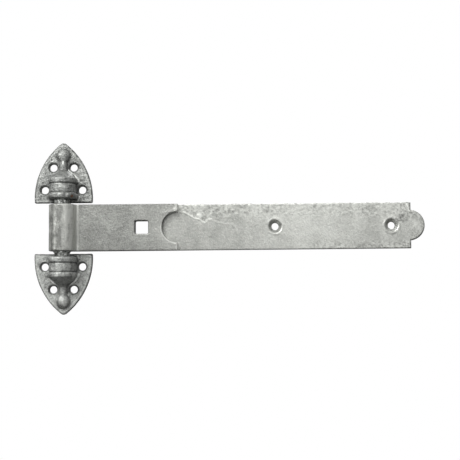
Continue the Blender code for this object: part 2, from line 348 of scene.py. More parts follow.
def spill(x, z):
    """How far a point is into the lumpy zinc, its lip's share, and how near it is to the horn."""
    into_band = z - spill_edge(x) - 1.2 * MM * rough(sheet(x, z), 9 * MM, 3, seed=5)
    past_short_leaf = smooth_step(NOTCH_X - 1 * MM, NOTCH_X + 2 * MM, x)
    near_horn = 1.0 - smooth_step(119 * MM, 135 * MM, x)
    lip = bump(into_band - 0.4 * MM, 1.0 * MM) * past_short_leaf * near_horn
    return into_band, lip, near_horn * past_short_leaf


# %% The dull patch and the thin runs
PUDDLE_X, PUDDLE_Z, PUDDLE_STRETCH = 291.5 * MM, 6.0 * MM, 1.5


def puddle(x, z):
    """1 in the patch of dull zinc above and right of the far screw hole, falling to 0 round it."""
    away = np.hypot((x - PUDDLE_X) / PUDDLE_STRETCH, z - PUDDLE_Z)
    away = away + 1.6 * MM * rough(sheet(x, z), 4 * MM, 2, 31)
    return 1 - smooth_step(2.4 * MM, 4.4 * MM, away)


DRIP_X, DRIP_FOOT, DRIP_SLANT = 297.5 * MM, 14 * MM, 0.25
DRIP_MIDDLE, DRIP_HALF_LENGTH = 15 * MM, 3.0 * MM


def shoulder_run(x, z):
    """1 along the short slanting drip of zinc beside the upper shoulder, 0 away from it."""
    line = x - (DRIP_X - DRIP_SLANT * (z - DRIP_FOOT))
    past_end = np.maximum(np.abs(z - DRIP_MIDDLE) - DRIP_HALF_LENGTH, 0)
    return bump(np.hypot(line, past_end), 1.4 * MM)


RUN_X = np.array([125.2, 133.9, 140.1, 146.2, 149.3, 149.9]) * MM
RUN_Z = np.array([6.6, 3.6, 2.3, 2.2, -2.4, -6.2]) * MM


def faint_run(x, z):
    """1 along the thin run of zinc that hangs from the band, 0 away from it.

    The distance to a chain of straight pieces is the least of the distances to each of them.
    """
    away = np.full_like(x, 1.0)
    for ax, az, bx, bz in zip(RUN_X[:-1], RUN_Z[:-1], RUN_X[1:], RUN_Z[1:]):
        along = ((x - ax) * (bx - ax) + (z - az) * (bz - az)) / ((bx - ax) ** 2 + (bz - az) ** 2)
        along = np.clip(along, 0, 1)
        away = np.minimum(away, np.hypot(x - ax - along * (bx - ax), z - az - along * (bz - az)))
    return bump(away, 1.3 * MM)


# %% Zinc heights along the bar
RIM_BLOBS = (0.30 * MM, 0.38 * MM)
HORN_FILLET = 1.0 * MM
HORN_FILLET_START = NOTCH_X - 0.9 * MM
HORN_FILLET_LENGTH = 1.8 * MM


def horn_fillet(x, z):
    """1 in the corner between each horn's end and the long leaf, falling to 0 along the leaf."""
    beside_horn = smooth_step(NOTCH_RADIUS - 0.5 * MM, NOTCH_RADIUS + 1.5 * MM, np.abs(z))
    fall = np.clip(1 - (x - NOTCH_X) / HORN_FILLET_LENGTH, 0, 1) ** 2
    return beside_horn * ((x > HORN_FILLET_START) * fall)


def long_leaf_zinc(x, z):
    """Height of zinc on the long leaf's front.

    The sum of the band with its lip and lumps, the blobs at the rims of the screw holes, the
    dull patch, the two thin runs, and the fillets at the horns.
    """
    flat = sheet(x, z)
    into_band, lip, near_horn = spill(x, z)
    band = smooth_step(-0.5 * MM, 0.9 * MM + (1 - near_horn) * 3.5 * MM, into_band)
    band *= x > NOTCH_X - 0.5 * MM
    lumps = rough(flat, 3.0 * MM, 2, seed=11)
    height = 0.05 * near_horn * MM * band + 0.20 * MM * lip
    height += (0.15 + 0.16 * near_horn) * MM * band * lumps
    for hole_x, blob in zip(SCREW_X, RIM_BLOBS):
        away = np.hypot(x - hole_x, z) - SINK_RADIUS
        patchy = 0.6 + 0.8 * noise(flat, 3.5 * MM, seed=23)
        height += blob * bump(away - 0.6 * MM, 1.8 * MM) * np.clip(patchy, 0, 1.4)
    height += 0.20 * MM * puddle(x, z) * rough(flat, 2.4 * MM, 2, seed=33)
    height += 0.40 * MM * shoulder_run(x, z) + 0.14 * MM * faint_run(x, z)
    uneven = 0.9 + 0.2 * noise(flat, 3 * MM, seed=29)
    height += HORN_FILLET * horn_fillet(x, z) * uneven
    return height


def skin(s, z, seed):
    """The even part of the coating: slow waves, and ripples that run a little along the bar."""
    waves = 0.07 * MM * rough(sheet(s, z), 24 * MM, 2, seed)
    return waves + 0.05 * MM * rough(sheet(s * 0.7, z), 5 * MM, 3, seed + 3)


HORN_BLOB_X, HORN_BLOB_Z = 97.2 * MM, 14.0 * MM


def short_leaf_zinc(x, z):
    """Height of zinc on the short leaf's front: the upper horn's blob, and lumps near its end."""
    height = 0.42 * MM * bump(np.hypot(x - HORN_BLOB_X, z - HORN_BLOB_Z), 3.6 * MM)
    near_end = smooth_step(78 * MM, 92 * MM, x) * smooth_step(9 * MM, 14 * MM, z)
    lumps = np.maximum(rough(sheet(x, z), 4 * MM, 3, seed=41), -0.2)
    return height + 0.30 * MM * near_end * lumps


def knuckle_zinc(s, z):
    """Hammer marks and uneven zinc round the knuckle, drawn out along the pin."""
    return 0.26 * MM * rough(sheet(s, z * 0.4), 4 * MM, 3, seed=51)


# %% The blank's grid
CELL = 0.67 * MM
EDGE_ROUND = 0.9 * MM
RIM_LINES = np.array([0.0, 0.1, 0.3, 0.62, 1.0]) * MM
edge_lines = HALF_WIDTH - RIM_LINES[::-1]
inner_count = int(round(2 * edge_lines[0] / CELL))
inner_lines = np.linspace(-edge_lines[0], edge_lines[0], inner_count + 1)[1:-1]
z_lines = np.concatenate([-edge_lines[::-1], inner_lines, edge_lines])
s_count = int(round((BAR_END - 2 * RIM_LINES[-1]) / CELL))
s_lines = np.concatenate([RIM_LINES, np.linspace(RIM_LINES[-1], BAR_END, s_count + 1)[1:]])
print("lines along the bar", len(s_lines), "across it", len(z_lines))

# %% [markdown]
# ## Marks on the strap
# The zinc is not one grey. It is dark on the short leaf and round the knuckle, pale on the long
# leaf, and speckled in the lumpy band. Part of this is painted light: the bar is painted paler
# towards the right and the top, and the knuckle gets painted reflections by the way it faces.
# Edges, countersinks and the inside of the bite's arc get painted shade. The lip, the inside
# corner and the bite's rim get painted highlights, and the long leaf by each horn's end gets
# painted light against the horn's shadow; the raised runs are pale zinc, partly painted
# highlight. These are written as three numbers at each point, a tone, a painted shade, and a
# wear with painted highlights, which the finish reads. A picture laid on the bar could hold them
# too, but numbers at points follow the fold by themselves and need no image.

# %% Tone and painted light of the strap
# Tone along each leaf: the zinc's grey, plus painted light that makes the bar paler to the right.
SHORT_TONE_X = np.array([8, 35, 55, 75, 98]) * MM
SHORT_LEAF_TONE_AND_LIGHT = (0.16, 0.16, 0.23, 0.33, 0.40)
LONG_TONE_X = np.array([98, 150, 200, 260]) * MM
LONG_LEAF_TONE_AND_LIGHT = (0.55, 0.54, 0.95, 0.71)
KNUCKLE_TONE = 0.48
# Painted reflection on the knuckle: tones for the sideways part of its normal, from -1 to 1.
KNUCKLE_FACING = (-1.0, -0.85, -0.65, -0.45, -0.2, 0.0, 0.13, 0.3, 0.45, 0.6, 0.8, 1.0)
KNUCKLE_PAINTED_REFLECTION = (0.1, 0.2, -0.45, 0.1, -0.36, -0.45, -0.35, 0.15, 0.6, 0.4, 0.55, 0.6)


def bar_tone_and_light(s, x, z, short, long, front):
    """Share of the pale grey at each point: a tone along each leaf, plus noise in layers.

    The leaves' tones change along them, mostly paler towards the right, partly as painted light,
    and the top of the bar is painted paler, as light from above. front is the share of each
    point in what is only seen from the front of the long leaf. The layers are slow upright
    clouds, grain, the speckled bands, the dull patch, fine lines drawn along the bar, the nose,
    and the knuckle's marks, with light and dark bands painted on the knuckle by the way it
    faces, as painted reflections.
    """
    flat = sheet(x, z)
    top_light_share = smooth_step(-HALF_WIDTH, HALF_WIDTH, z)
    on_short = np.interp(x, SHORT_TONE_X, SHORT_LEAF_TONE_AND_LIGHT)
    on_long = np.interp(x, LONG_TONE_X, LONG_LEAF_TONE_AND_LIGHT)
    tone = np.where(long, on_long, np.where(short, on_short, KNUCKLE_TONE))
    # The top of the bar is painted paler, as light falling from above.
    tone = tone + 0.10 * (top_light_share - 0.5)
    tone = tone + np.where(long, 0.10, 0.05) * rough(sheet(x, z * 0.35), 11 * MM, 3, 79)
    grain = rough(flat, 1.5 * MM, 2, 91)
    in_band = smooth_step(-1 * MM, 3 * MM, z - spill_edge(x) - 2 * MM * rough(flat, 8 * MM, 3, 5))
    in_band = in_band * front * (x > NOTCH_X)
    tone = tone + in_band * (0.05 + 0.52 * grain) + 0.10 * grain
    tone = tone + puddle(x, z) * (0.7 * rough(flat, 2.2 * MM, 2, 93) - 0.34) * front
    in_low_band = smooth_step(190 * MM, 230 * MM, x) * (1 - smooth_step(-17 * MM, -11 * MM, z))
    tone = tone + 0.55 * front * in_low_band * grain
    tone = tone + 0.05 * rough(sheet(x * 0.10, z), 1.6 * MM, 2, 81)
    nose = smooth_step(SHOULDER_X - 1 * MM, SHOULDER_X + 2 * MM, x) * long
    tone = tone - nose * (0.04 - 0.30 * rough(flat, 3 * MM, 2, 95))
    knuckle_marks = rough(sheet(s, z * 0.30), 2.2 * MM, 3, 97, fade=0.8)
    # Painted reflection: the knuckle is lighter or darker by the way its surface faces.
    painted_reflection_bands = np.interp(fold(s)[2], KNUCKLE_FACING, KNUCKLE_PAINTED_REFLECTION)
    return tone + np.where(long | short, 0, 0.75 * knuckle_marks + painted_reflection_bands)


# %% Painted shade, wear and painted highlights of the strap
def by_the_bite(x, z, short):
    """Distance out from the round bite's arc, and whether a point is by the short leaf's end."""
    from_bite = np.hypot(x - NOTCH_X, z) - NOTCH_RADIUS
    by_end = short * (x > BOLT_X + 10 * MM) * (np.abs(z) < HALF_WIDTH - 1 * MM)
    return from_bite, by_end


def bar_painted_shade(x, z, inside, short, front):
    """How much painted shade each point gets: countersinks, under the bite, and the edges.

    inside is the distance in from the outline. The largest of the shares counts.
    """
    painted_shade = np.zeros_like(x)
    # Painted shade in the countersinks, in patches.
    for hole_x in SCREW_X:
        depth = (SINK_RADIUS - np.hypot(x - hole_x, z)) / (SINK_RADIUS - SCREW_RADIUS)
        patchy = 0.26 + 0.34 * noise(sheet(x, z), 2.6 * MM, 87)
        painted_shade = np.maximum(painted_shade, front * patchy * smooth_step(0.0, 0.35, depth))
    from_bite, by_end = by_the_bite(x, z, short)
    # A painted shadow on the long leaf just inside the upper part of the bite's arc.
    painted_bite_shadow = smooth_step(-9 * MM, 2 * MM, z) * (x < NOTCH_X)
    painted_shade = np.maximum(painted_shade, 0.6 * front * bump(from_bite + 0.3 * MM, 1.0 * MM) * painted_bite_shadow)
    on_arc = 1 - smooth_step(11.5 * MM, 13.5 * MM, np.abs(z))
    # Painted shade along the edges, lighter at the short leaf's end.
    edge_shade_share = np.where(by_end, 0.15 + 0.3 * painted_bite_shadow * on_arc, 0.45)
    # A painted dark line along the short leaf's upper edge.
    top_edge_shade = short * (z > 0) * (x < NOTCH_X - 3 * MM)
    from_edge = HALF_WIDTH - np.abs(z)
    painted_shade = np.maximum(painted_shade, 0.62 * top_edge_shade * (1 - smooth_step(0.4 * MM, 1.6 * MM, from_edge)))
    return np.maximum(painted_shade, edge_shade_share * (1 - smooth_step(0.0, 0.55 * MM, inside)))


def bar_wear_and_highlight(s, x, z, short, front):
    """Wear and painted highlights: the lip, the thin runs, the bite's rim, the horns, the corner.

    The corner is the bright line where the short leaf meets the knuckle. The lip, the bite's
    rim and the corner are painted highlights, the long leaf beside the horns gets painted
    light against their shadow, and the runs are pale zinc, partly painted highlight. The
    largest counts.
    """
    flat = sheet(x, z)
    lip = spill(x, z)[1]
    # A painted highlight along the lip of the lumpy band.
    lip_highlight = front * lip * (0.7 + 0.7 * noise(flat, 3 * MM, 85))
    # The runs are pale thick zinc, and partly a painted highlight.
    wear_and_highlight = np.maximum(lip_highlight, front * shoulder_run(x, z)) * 0.8
    wear_and_highlight = np.maximum(wear_and_highlight, 0.22 * front * faint_run(x, z))
    from_bite, by_end = by_the_bite(x, z, short)
    # A painted highlight just outside the bite's arc.
    wear_and_highlight = np.maximum(wear_and_highlight, 0.5 * by_end * bump(from_bite - 0.9 * MM, 0.8 * MM))
    # Painted light beside each horn's end, against the shadow of its wall.
    horn_side_light = smooth_step(NOTCH_RADIUS, NOTCH_RADIUS + 1.5 * MM, np.abs(z))
    horn_side_light *= bump(x - NOTCH_X, 2.0 * MM) * (0.85 + 0.3 * noise(flat, 2.5 * MM, 89))
    wear_and_highlight = np.maximum(wear_and_highlight, 0.9 * horn_side_light)
    # A painted highlight along the inside corner, brighter towards the top.
    corner_highlight = bump(s - LEAF_END - 0.6 * MM, 1.0 * MM)
    return np.maximum(wear_and_highlight, corner_highlight * (0.45 + 0.5 * smooth_step(0.6, 1.0, z / HALF_WIDTH)))


# %% Build the strap
# The outside is set in a little, so that its lumps stay within the solid that it stands for.
OUTSIDE_SET_IN, BACK_SET_IN = 0.05 * MM, 0.08 * MM
RIM_DRIP = 0.42 * MM
SINK_UNEVENNESS = 0.25 * MM


def build_strap():
    """The blank as an array: trimmed, its two faces set at their heights, and then folded.

    Each face stands half the bar's thickness from the middle line, less a quarter round at the
    rim, plus its zinc; a countersink lowers the long leaf's front by one unit per unit inward.
    Past the upper horn the long leaf's upper rim is drawn in unevenly, where zinc has dripped.
    """
    s_grid, z_grid = np.meshgrid(s_lines, z_lines, indexing="ij")
    shape = s_grid.shape
    middle_s = (s_grid[1:, 1:] + s_grid[:-1, :-1]) / 2
    middle_z = (z_grid[1:, 1:] + z_grid[:-1, :-1]) / 2
    kept = blank_distance(middle_s, middle_z) < 0
    near = np.pad(kept, 1)
    around = np.stack([near[:-1, :-1], near[1:, :-1], near[:-1, 1:], near[1:, 1:]])
    on_rim = around.any(axis=0) & ~around.all(axis=0)
    s, z = snap_to_outline(s_grid.ravel(), z_grid.ravel(), on_rim.ravel())
    x = leaf_place(s)
    inside = np.maximum(-blank_distance(s, z), 0)
    inside = np.where(on_rim.ravel(), 0, inside)
    drawn_in = EDGE_ROUND - np.sqrt(EDGE_ROUND**2 - np.maximum(EDGE_ROUND - inside, 0) ** 2)
    short, long = s < LEAF_END, s > LOOP_END
    loop = smooth_step(LEAF_END, CORNER_END, s) * (1 - smooth_step(LOOP_END - 8 * MM, LOOP_END, s))
    seen_long = long & (x > NOTCH_X - 14 * MM)
    outer = BAR / 2 - drawn_in + np.where(long, -BACK_SET_IN, 0)
    outer = outer + 0.9 * skin(s, z, 60) - OUTSIDE_SET_IN
    outer += np.where(short, short_leaf_zinc(x, z), 0) + loop * knuckle_zinc(s, z)
    inner = BAR / 2 - drawn_in
    inner += np.where(seen_long, skin(s, z, 70) + long_leaf_zinc(x, z) * (inside > 0), 0)
    for hole_x in SCREW_X:
        sink = SINK_RADIUS - np.hypot(x - hole_x, z)
        sink += SINK_UNEVENNESS * noise(sheet(x, z), 3 * MM, seed=77)
        inner = np.where(long & (sink > 0), np.minimum(inner, BAR / 2 - sink), inner)
    outer = np.where(long, np.minimum(outer, BAR / 2), outer)
    px, py, nx, ny = fold(s)
    count = s.size
    dripped = noise(sheet(x, np.zeros_like(x)), 2.6 * MM, seed=63)
    past_horn = long * smooth_step(NOTCH_X - 12 * MM, NOTCH_X, x)
    upper_rim = smooth_step(HALF_WIDTH - 1.5 * MM, HALF_WIDTH, z)
    z = z - RIM_DRIP * past_horn * upper_rim * np.clip(0.5 + dripped, 0, 1)
    top = np.stack([px + nx * outer, py + ny * outer, z], axis=1)
    bottom = np.stack([px - nx * inner, py - ny * inner, z], axis=1)
    top_number = np.arange(count).reshape(shape)
    i, j = np.nonzero(kept)
    top_quads = np.stack(
        [top_number[i, j], top_number[i, j + 1], top_number[i + 1, j + 1], top_number[i + 1, j]],
        axis=1,
    )
    middle = (top + bottom) / 2
    middle_number = top_number + 2 * count
    quads = np.concatenate(
        [
            top_quads,
            top_quads[:, ::-1] + count,
            rim_quads(kept, top_number, middle_number),
            rim_quads(kept, middle_number, top_number + count),
        ]
    )
    behind, in_front = (
        (
            bar_tone_and_light(s, x, z, short, long, front),
            bar_painted_shade(x, z, inside, short, front),
            bar_wear_and_highlight(s, x, z, short, front),
        )
        for front in (np.zeros_like(s), 1.0 * long)
    )
    marks = [np.concatenate([a, b, a]) for a, b in zip(behind, in_front)]
    return used_only(np.concatenate([top, bottom, middle]), quads, *marks)


strap_points, strap_quads, strap_tone_and_light, strap_painted_shade, strap_wear_and_highlight = build_strap()
print("strap low", strap_points.min(axis=0) / MM, "high", strap_points.max(axis=0) / MM)

# %% [markdown]
# ## The cups: two sand castings
# A cup is a plate with countersunk holes, a barrel with a blind socket, a dome, a neck and a
# ball, all melted into each other by fillets. No grid of two parameters covers a shape with so
# many holes and an overhanging socket. So the casting is written as one distance field, the way
# a pattern is built up from simple forms: a solid is where the number is negative, the smaller
# of two numbers joins two forms, a softened smaller one joins them with a fillet, and the larger
# one cuts. The surface is then read off a 3-D grid as whole arrays.

# %% A surface from a distance field
def field_surface(field, low, high, cell):
    """Points and quads where a field changes sign, by surface nets.

    Each cell of the grid with both signs at its corners gets one point, at the mean of the sign
    changes on its edges. Each grid edge with a sign change gets a quad through its four cells.
    The points are then moved along the field's slope onto its zero.
    """
    counts = np.ceil((np.array(high) - low) / cell).astype(int) + 1
    axes = [low[a] + cell * np.arange(counts[a]) for a in range(3)]
    grid = np.stack(np.meshgrid(*axes, indexing="ij"), axis=-1).reshape(-1, 3)
    value = field(grid).reshape(counts)
    corners = [(a, b, c) for a in (0, 1) for b in (0, 1) for c in (0, 1)]
    cells = [slice(0, n - 1) for n in counts], [slice(1, n) for n in counts]
    inside = sum(
        (value[tuple(cells[corner[axis]][axis] for axis in range(3))] < 0).astype(np.int8)
        for corner in corners
    )
    i, j, k = np.nonzero((inside > 0) & (inside < 8))
    number = np.full(counts - 1, -1, np.int64)
    number[i, j, k] = np.arange(len(i))
    total, crossings = np.zeros((len(i), 3)), np.zeros(len(i))
    for axis in range(3):
        others = [a for a in range(3) if a != axis]
        for first in (0, 1):
            for second in (0, 1):
                start = np.stack([i, j, k], axis=1)
                start[:, others[0]] += first
                start[:, others[1]] += second
                end = start.copy()
                end[:, axis] += 1
                a = value[tuple(start.T)]
                b = value[tuple(end.T)]
                changes = (a < 0) != (b < 0)
                share = np.where(changes, a / np.where(changes, a - b, 1.0), 0.0)
                place = start.astype(float)
                place[:, axis] += share
                total += place * changes[:, None]
                crossings += changes
    points = low + cell * total / crossings[:, None]
    quads = []
    for axis in range(3):
        others = [(axis + 1) % 3, (axis + 2) % 3]
        slices_a = [slice(None)] * 3
        slices_b = [slice(None)] * 3
        slices_a[axis], slices_b[axis] = slice(0, -1), slice(1, None)
        a, b = value[tuple(slices_a)] < 0, value[tuple(slices_b)] < 0
        for turned in (False, True):
            edge = np.stack(np.nonzero(a & ~b if turned else b & ~a), axis=1)
            ring = []
            for du, dv in ((0, 0), (1, 0), (1, 1), (0, 1)):
                spot = edge.copy()
                spot[:, others[0]] += du - 1
                spot[:, others[1]] += dv - 1
                ring.append(number[tuple(spot.T)])
            quads.append(np.stack(ring if turned else ring[::-1], axis=1))
    for _ in range(2):
        nudge = 0.05 * cell
        here = field(points)
        steps = np.eye(3) * nudge
        slope = np.stack([field(points + step) - field(points - step) for step in steps], axis=1)
        slope /= 2 * nudge
        size = np.maximum((slope**2).sum(axis=1), 0.3)
        points = points - np.clip(here / size, -cell, cell)[:, None] * slope
    return points, np.concatenate(quads)


def field_normals(field, points, nudge):
    """Unit slopes of a field: they point out of the solid."""
    steps = np.eye(3) * nudge
    slope = np.stack([field(points + step) - field(points - step) for step in steps], axis=1)
    return slope / np.maximum(np.linalg.norm(slope, axis=1, keepdims=True), 1e-9)


def soft_join(a, b, fillet):
    """The smaller of two distances, less h*h*fillet/4 where they differ by less than fillet."""
    h = np.maximum(fillet - np.abs(a - b), 0) / fillet
    return np.minimum(a, b) - h * h * fillet / 4


def soft_cut(a, b, fillet):
    """The larger of two distances, with its edge rounded in the same way."""
    return -soft_join(-a, -b, fillet)


# %% Sizes of the casting
# Heights are measured up from the cup's base edge, and stands are measured out from the post.
CUP_BASE = cup_low[2]
STAND = -AXIS_Y
PLATE = 4.0 * MM
PLATE_ROUND = 0.8 * MM
ARCH_RADIUS = 60.7 * MM
ARCH_CENTRE_X = 35.6 * MM
ARCH_CENTRE_HEIGHT = 4.1 * MM
MOUTH = 2.9 * MM
BEAD_END = 8.1 * MM
GROOVE = 15.9 * MM
COLLAR_END = 19.6 * MM
NECK = 29.8 * MM
BARREL_RADIUS = 11.3 * MM
NECK_HALF = 3.5 * MM
BALL_HEIGHT = 41.1 * MM
BALL_RADIUS = 6.0 * MM
BALL_STAND = 3.6 * MM
BALL_FLATNESS = 1.25
TIP_ROUND, BASE_CORNER_ROUND = 3.0 * MM, 1.2 * MM
BEAD_RISE, COLLAR_RISE = 1.05 * MM, 0.65 * MM
GROOVE_DEPTH, BEAD_GROOVE_DEPTH = 0.55 * MM, 0.35 * MM
NECK_CREST = 7.6 * MM
RELIEF_FOOT = 0.8 * MM
SOCKET_RADIUS = 6.55 * MM
SOCKET_FLOOR = 18.1 * MM
CUP_SCREWS = ((16.15 * MM, 11.3 * MM), (8.8 * MM, 30.8 * MM))
CUP_SCREW_RADIUS = 3.1 * MM
CUP_SINK_RADIUS = 4.6 * MM


# %% Sections and outline of the casting
def half_round(height, low, high):
    """A half circle's height, 0 to 1 to 0, between two places."""
    place = (2 * height - low - high) / (high - low)
    return np.sqrt(np.maximum(0.0, 1.0 - place * place))


def barrel_section(height):
    """Half width, side height and crest height of the barrel, dome and neck above the base edge.

    The barrel is a cylinder with a round bead at its mouth, a groove and a collar. Past the
    collar all three fall along half a cosine wave to the neck's size.
    """
    bead = BEAD_RISE * half_round(height, MOUTH, BEAD_END)
    collar = COLLAR_RISE * half_round(height, GROOVE, COLLAR_END + 1.5 * MM)
    groove = GROOVE_DEPTH * np.exp(-(((height - GROOVE) / (0.55 * MM)) ** 2))
    groove += BEAD_GROOVE_DEPTH * np.exp(-(((height - BEAD_END) / (0.5 * MM)) ** 2))
    radius = BARREL_RADIUS + bead + collar - groove
    share = np.clip((height - COLLAR_END) / (NECK - COLLAR_END), 0.0, 1.0)
    fall = 0.5 - 0.5 * np.cos(math.pi * share)
    half_width = radius + (NECK_HALF - radius) * fall
    crest = STAND + radius + (NECK_CREST - STAND - radius) * fall
    side = STAND + (PLATE - STAND) * np.minimum(1.0, 1.25 * fall)
    return half_width, side, crest


def arch_distance(x, height):
    """Signed distance to the pointed arch: inside both circles and above the base edge."""
    right = np.hypot(x + ARCH_CENTRE_X, height - ARCH_CENTRE_HEIGHT) - ARCH_RADIUS
    left = np.hypot(x - ARCH_CENTRE_X, height - ARCH_CENTRE_HEIGHT) - ARCH_RADIUS
    return soft_cut(soft_cut(right, left, TIP_ROUND), -height, BASE_CORNER_ROUND)


def hole_distance(points):
    """Distance from the middle line of the nearest screw hole."""
    x, height = np.abs(points[:, 0]), points[:, 2]
    (near_x, near_height), (far_x, far_height) = CUP_SCREWS
    return np.minimum(
        np.hypot(x - near_x, height - near_height), np.hypot(x - far_x, height - far_height)
    )


# %% The whole casting
FLASH_RISE = 0.55 * MM
FLASH_OFF = 1.3 * MM
FLASH_REACH = 1.1 * MM


def flash_line(points, runs):
    """1 along the thin raised line where the two halves of the mould met, 0 away from it.

    It follows the foot of the relief 1.3 mm off, on the side and between the heights of each
    run, and wanders a little.
    """
    x, height = points[:, 0], points[:, 2]
    half_width = barrel_section(height)[0]
    total = np.zeros(len(points))
    wander = 0.35 * MM * noise(sheet(height, 0 * x), 3.5 * MM, 5)
    for side, low, high in runs:
        ends = smooth_step(low, low + 1 * MM, height)
        ends = ends * (1 - smooth_step(high - 1 * MM, high, height))
        away = side * x - half_width - FLASH_OFF - wander
        total = np.maximum(total, ends * bump(away, FLASH_REACH))
    return total * bump(np.maximum(points[:, 1] - PLATE - 1.5 * MM, 0), 1.5 * MM)


def cup_field(points, runs):
    """The whole casting at points of (across, out from the post, above the base edge).

    A rounded plate less its countersinks, joined by fillets to the barrel and the ball, then
    cut by the socket and the screw holes.
    """
    x, out, height = points[:, 0], points[:, 1], points[:, 2]
    half_width, side, crest = barrel_section(height)
    flat = arch_distance(x, height)
    slab = np.maximum(out - PLATE, -out)
    flat_in, slab_in = flat + PLATE_ROUND, slab + PLATE_ROUND
    plate = (
        np.hypot(np.maximum(flat_in, 0), np.maximum(slab_in, 0))
        + np.minimum(np.maximum(flat_in, slab_in), 0)
        - PLATE_ROUND
    )
    to_hole = hole_distance(points)
    foot = PLATE - (CUP_SINK_RADIUS - CUP_SCREW_RADIUS)
    cone = (to_hole - CUP_SCREW_RADIUS - (out - foot)) * math.sqrt(0.5)
    sink = np.maximum(cone, to_hole - CUP_SINK_RADIUS)
    plate = soft_cut(plate, -sink, 0.35 * MM)
    over = np.maximum(out - side, 0)
    dome_height = np.maximum(crest - side, 0.5 * MM)
    unit = np.hypot(x / half_width, over / dome_height)
    barrel = (unit - 1) * np.minimum(half_width, dome_height)
    draft = 0.05 * np.maximum(side - out, 0)
    barrel = np.where(out < side, np.abs(x) - half_width - draft, barrel)
    barrel = soft_cut(barrel, MOUTH - height, 0.8 * MM)
    barrel = np.maximum(barrel, height - BALL_HEIGHT)
    barrel = np.maximum(barrel, RELIEF_FOOT - out)
    pressed = BALL_FLATNESS * (out - BALL_STAND)
    ball = np.sqrt(x**2 + pressed**2 + (height - BALL_HEIGHT) ** 2) - BALL_RADIUS
    relief = soft_join(barrel, np.maximum(ball, RELIEF_FOOT - out), 1.2 * MM)
    solid = soft_join(plate, relief, 1.1 * MM)
    solid -= FLASH_RISE * flash_line(points, runs)
    bore = np.maximum(np.hypot(x, out - STAND) - SOCKET_RADIUS, height - SOCKET_FLOOR)
    solid = soft_cut(solid, -bore, 0.5 * MM)
    return soft_cut(solid, CUP_SCREW_RADIUS - to_hole, 0.3 * MM)


# %% [markdown]
# ## Marks on the castings
# The casting's hollows, the edge of its outline, its base edge and its countersinks get painted
# shade; its edges, its crest and a line inside the rim get painted highlights, and the flash
# line and the crumbs of zinc are pale, partly as painted highlight. The distance field that
# makes the shape can also measure this: a look a little way out of the surface tells how
# enclosed a point is. It costs a few more passes over the points, and needs no picture and no
# baking.

# %% Hollows and edges of the casting
def painted_shade_and_edge_highlight(field, points, out):
    """How deep in a hollow, and how near an edge, each point of a field's surface lies.

    A step of length d straight out of open ground raises the field by d. In a hollow it rises
    less, because another wall is near. A step in lowers it by less than d near an edge. The
    first share is used as painted shade, and the second as a painted highlight on edges.
    """
    # Painted shade, the more the surface is enclosed.
    painted_shade = np.zeros(len(points))
    for reach, weight in ((1.2 * MM, 0.45), (3.0 * MM, 0.40), (6.5 * MM, 0.25)):
        painted_shade += weight * np.clip(1 - field(points + reach * out) / reach, 0, 1)
    # A painted highlight along the relief's edges.
    wear_and_highlight = 0.5 * np.clip(1 + field(points - 0.7 * MM * out) / (0.7 * MM), 0, 1)
    wear_and_highlight *= smooth_step(PLATE, PLATE + 2 * MM, points[:, 1])
    return painted_shade, wear_and_highlight


# %% Marks of the casting
# Crumbs of zinc and the rust spot, as (across, above the base edge, reach) and (across, out from
# the post, above the base edge). The crumbs differ between the upper cup, 1, and the lower, -1.
CRUMBS = {1: (-0.5 * MM, 34.5 * MM, 3.6 * MM), -1: (-4.9 * MM, 34.7 * MM, 1.8 * MM)}
RUST_SPOT = (9.3 * MM, 18.6 * MM, 4.4 * MM)


def cast_painted_shade(points, painted_shade, flash):
    """Painted shade: hollows less the flash, the outline's edges, and the countersinks."""
    near_plate = points[:, 1] < PLATE + 0.5 * MM
    painted_shade = painted_shade * (1 - np.clip(1.5 * flash, 0, 1))
    # Painted shade along the outline's edge.
    to_edge = arch_distance(points[:, 0], points[:, 2])
    painted_shade = np.maximum(painted_shade, 0.72 * smooth_step(-1.2 * MM, -0.4 * MM, to_edge))
    # Painted shade along the plate's base edge, under the barrel's mouth.
    base_edge_shade = 1 - smooth_step(0.3 * MM, 1.3 * MM, points[:, 2])
    painted_shade = np.maximum(painted_shade, 0.88 * (base_edge_shade * near_plate))
    # Painted shade in the countersinks.
    to_sink = hole_distance(points)
    in_sink = 1 - smooth_step(CUP_SINK_RADIUS - 0.5 * MM, CUP_SINK_RADIUS, to_sink)
    return np.maximum(painted_shade, 0.55 * in_sink * near_plate)


def cast_wear_and_highlight(points, out, wear_and_highlight, flash, seed):
    """Wear and painted highlights: edges, the flash, the crest, and a line inside the rim."""
    wear_and_highlight = np.maximum(wear_and_highlight, flash)
    # A painted highlight in patches where the relief faces straight out, on its crest.
    crest = smooth_step(0.8, 0.95, out[:, 1]) * smooth_step(12 * MM, 20 * MM, points[:, 1])
    patches = smooth_step(0.1, 0.6, noise(points, 3.2 * MM, seed + 5))
    wear_and_highlight = np.maximum(wear_and_highlight, 0.35 * crest * patches)
    # A painted highlight in a thin line 2 mm inside the rim.
    from_rim = arch_distance(points[:, 0], points[:, 2]) + 2.0 * MM
    on_front = points[:, 1] > PLATE - 0.5 * MM
    return np.maximum(wear_and_highlight, 0.28 * bump(from_rim, 0.7 * MM) * on_front)


def flash_and_crumbs(points, way, seed, runs):
    """The bright flash line, broken up by noise, and a few crumbs of zinc near the neck."""
    # The flash and the crumbs are pale zinc, and partly a painted highlight.
    broken = 1.0 + 0.5 * noise(points, 2.2 * MM, seed + 3)
    on_front = points[:, 1] > PLATE - 0.5 * MM
    flash = on_front * np.clip(2 * flash_line(points, runs), 0, 1) * broken
    crumb_x, crumb_height, crumb_reach = CRUMBS[way]
    away = np.hypot(points[:, 0] - crumb_x, points[:, 2] - crumb_height) / crumb_reach
    crumbs = (1 - smooth_step(0.6, 1.0, away)) * smooth_step(0.0, 0.4, noise(points, 1.7 * MM, 27))
    return np.maximum(flash, 0.9 * crumbs)


